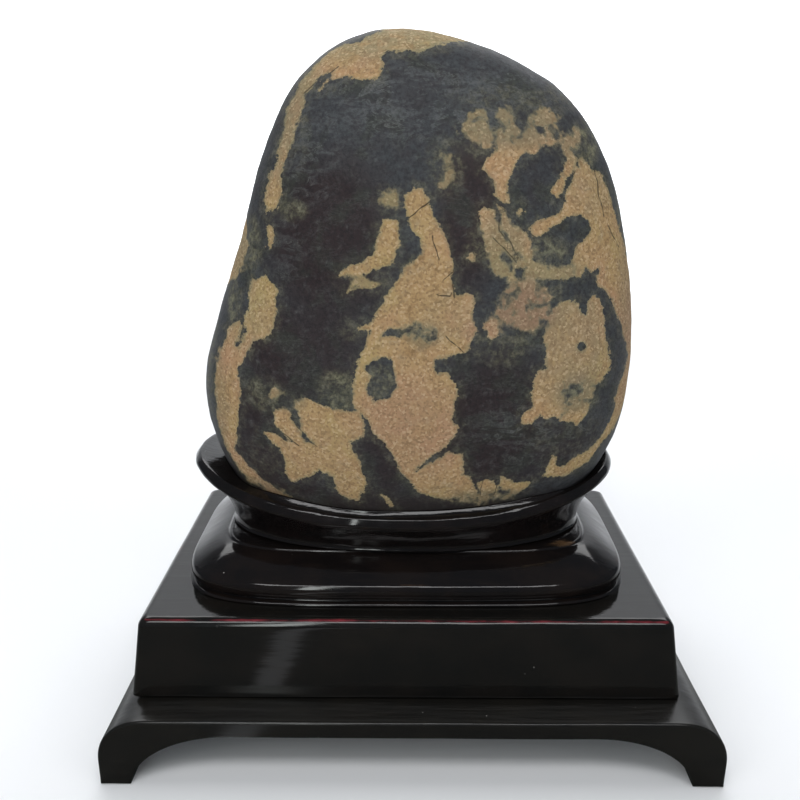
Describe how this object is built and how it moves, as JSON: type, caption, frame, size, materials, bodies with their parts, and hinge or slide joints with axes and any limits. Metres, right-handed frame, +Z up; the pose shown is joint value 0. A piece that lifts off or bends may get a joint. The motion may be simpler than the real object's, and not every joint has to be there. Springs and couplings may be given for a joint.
{
  "type": "viewing stone on a stand",
  "caption": "Upright water-worn viewing stone, dark with buff patches, bedded in a collared and stepped dark lacquered wooden stand on a footed base.",
  "frame": {"origin": "centre of the footed base's footprint, on the surface that it stands on", "axes": "+Z up, -Y towards the stone's best face, +X to that face's right"},
  "size_m": [0.2512, 0.172, 0.2905],
  "materials": {
    "base_wood": "near-black satin lacquer over hardwood, with fine grain and brush marks",
    "plinth_wood": "near-black glossy lacquer over hardwood, rubbed to reddish brown along its top edges",
    "tier_wood": "near-black glossy lacquer over hardwood, with brush marks",
    "collar_wood": "near-black glossy lacquer over carved hardwood, with tool marks and thin brown wear",
    "stone": "water-worn, matt; blue-black rock with ragged buff sandstone patches"
  },
  "bodies": {
    "root": {"footed_base": "base_wood", "plinth": "plinth_wood", "seat_tier": "tier_wood", "collar": "collar_wood", "stone": "stone"}
  },
  "joints": []
}
